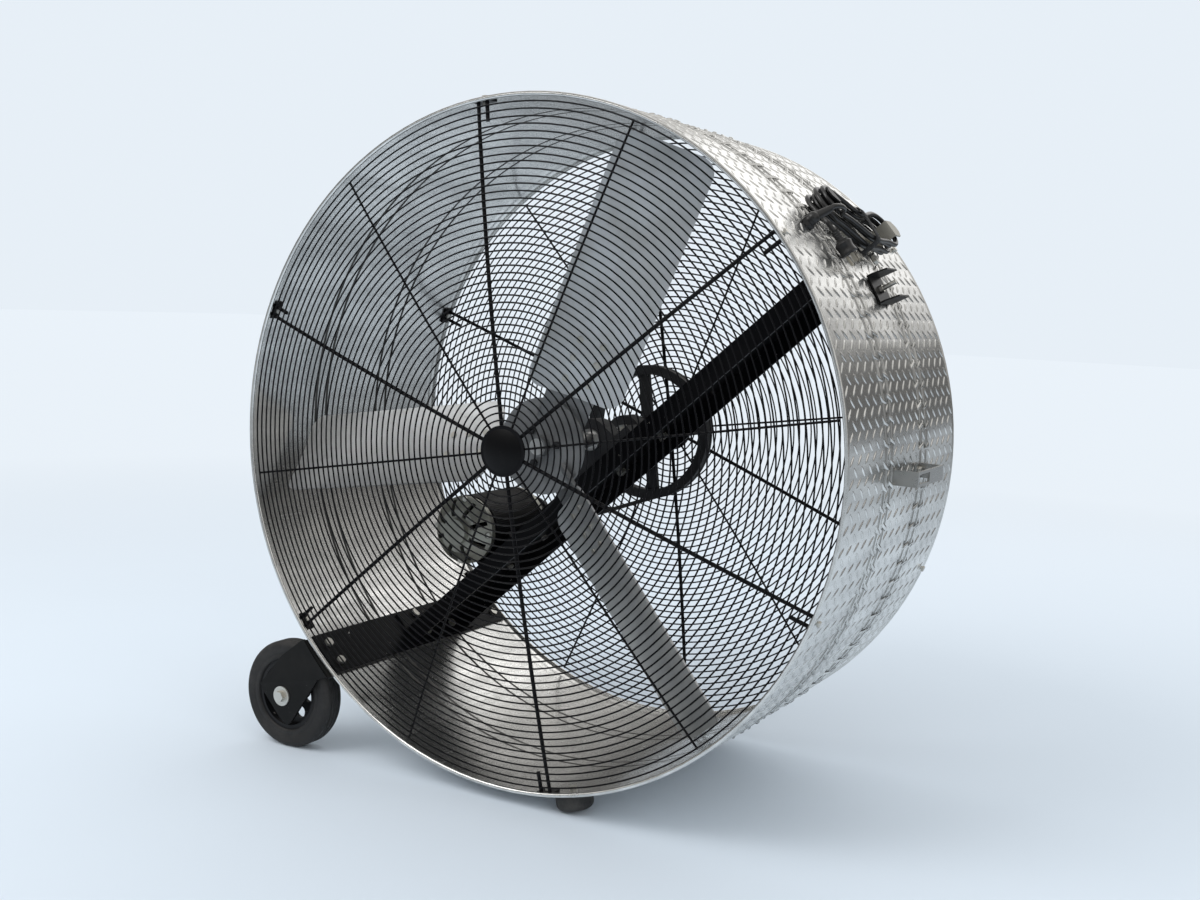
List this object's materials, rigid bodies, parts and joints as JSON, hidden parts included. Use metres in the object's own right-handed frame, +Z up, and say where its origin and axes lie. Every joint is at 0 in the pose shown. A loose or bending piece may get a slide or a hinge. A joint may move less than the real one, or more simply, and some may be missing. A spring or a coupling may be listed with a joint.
{
  "type": "drum fan",
  "caption": "Belt driven drum fan on two wheels and two rubber feet, with wire guards, a propeller on a crossbar, a pull handle and a coiled mains cord.",
  "frame": {"origin": "middle of the bounding box on the floor, measured without the cord", "axes": "+X to the right seen from the front, away from the wheels, +Y along the drum to the rear, +Z up"},
  "size_m": [1.2762, 0.666, 1.256],
  "materials": {
    "galvanised_sheet": "galvanised, tread pattern outside",
    "black_paint": "satin black paint",
    "wire_paint": "satin black coated wire",
    "badge_plastic": "gloss, unprinted",
    "blade_sheet": "mill finish",
    "casting": "dark painted casting",
    "bright_steel": "ground steel",
    "fasteners": "zinc plated",
    "tyre_rubber": "matte, ribbed",
    "wheel_hub": "satin dark paint",
    "foot_rubber": "matte",
    "belt_rubber": "matte",
    "motor_paint": "semi-gloss dark paint",
    "bell_alloy": "cast",
    "handle_steel": "zinc plated strap",
    "bracket_steel": "dull plate",
    "cord_jacket": "matte black jacket",
    "plug_plastic": "moulded",
    "contact_brass": "bright"
  },
  "bodies": {
    "drum": {"drum_shell": "galvanised_sheet", "front_guard_frame": "wire_paint", "front_guard_rings": "wire_paint", "rear_guard_frame": "wire_paint", "rear_guard_rings": "wire_paint", "guard_badge": "badge_plastic", "guard_bolts": "fasteners", "crossbar": "black_paint", "crossbar_foot_upper": "black_paint", "crossbar_foot_lower": "black_paint", "crossbar_bolts": "fasteners", "wheel_strap": "black_paint", "strap_bolts": "fasteners", "wheel_bracket_front": "black_paint", "wheel_bracket_rear": "black_paint", "axle_bolt_front": "fasteners", "axle_bolt_rear": "fasteners", "axle_nuts": "fasteners", "rubber_foot_front": "foot_rubber", "rubber_foot_rear": "foot_rubber", "foot_bolts": "fasteners", "bearing_housing_front": "casting", "bearing_housing_rear": "casting", "bearing_bolts": "fasteners", "drive_belt": "belt_rubber", "motor_body": "motor_paint", "motor_bell_front": "bell_alloy", "motor_bell_rear": "bell_alloy", "motor_base": "motor_paint", "motor_bolts": "fasteners", "pull_handle": "handle_steel", "cord_wrap_lower": "bracket_steel", "hank_bracket_front": "bracket_steel", "hank_bracket_rear": "bracket_steel", "outer_bolts": "fasteners", "cord_gland": "plug_plastic", "cord_lead": "cord_jacket", "cord_hank": "cord_jacket", "cord_tie": "plug_plastic", "plug_body": "plug_plastic", "plug_blades": "contact_brass"},
    "fan": {"fan_shaft": "bright_steel", "prop_spider": "casting", "prop_hub": "casting", "blade_1": "blade_sheet", "blade_2": "blade_sheet", "blade_3": "blade_sheet", "blade_rivets": "fasteners", "hub_bolts": "fasteners", "bearing_ring_front": "bright_steel", "bearing_ring_rear": "bright_steel", "large_sheave": "casting"},
    "motor_rotor": {"motor_shaft": "bright_steel", "motor_pulley": "casting"},
    "front_wheel": {"tyre_front": "tyre_rubber", "wheel_hub_front": "wheel_hub"},
    "rear_wheel": {"tyre_rear": "tyre_rubber", "wheel_hub_rear": "wheel_hub"}
  },
  "joints": [
    {"name": "fan_spin", "type": "hinge", "parent": "drum", "child": "fan", "pos_m": [-0.02115, 0, 0.639], "axis": [0, 1, 0], "continuous": true},
    {"name": "motor_spin", "type": "hinge", "parent": "drum", "child": "motor_rotor", "pos_m": [-0.30333, 0, 0.42933], "axis": [0, 1, 0], "continuous": true},
    {"name": "front_wheel_spin", "type": "hinge", "parent": "drum", "child": "front_wheel", "pos_m": [-0.5287, 0, 0.106], "axis": [0, 1, 0], "continuous": true},
    {"name": "rear_wheel_spin", "type": "hinge", "parent": "drum", "child": "rear_wheel", "pos_m": [-0.5287, 0, 0.106], "axis": [0, 1, 0], "continuous": true}
  ],
  "couplings": [
    {"joint": "motor_spin", "follows": "fan_spin", "ratio": 3.6216}
  ]
}
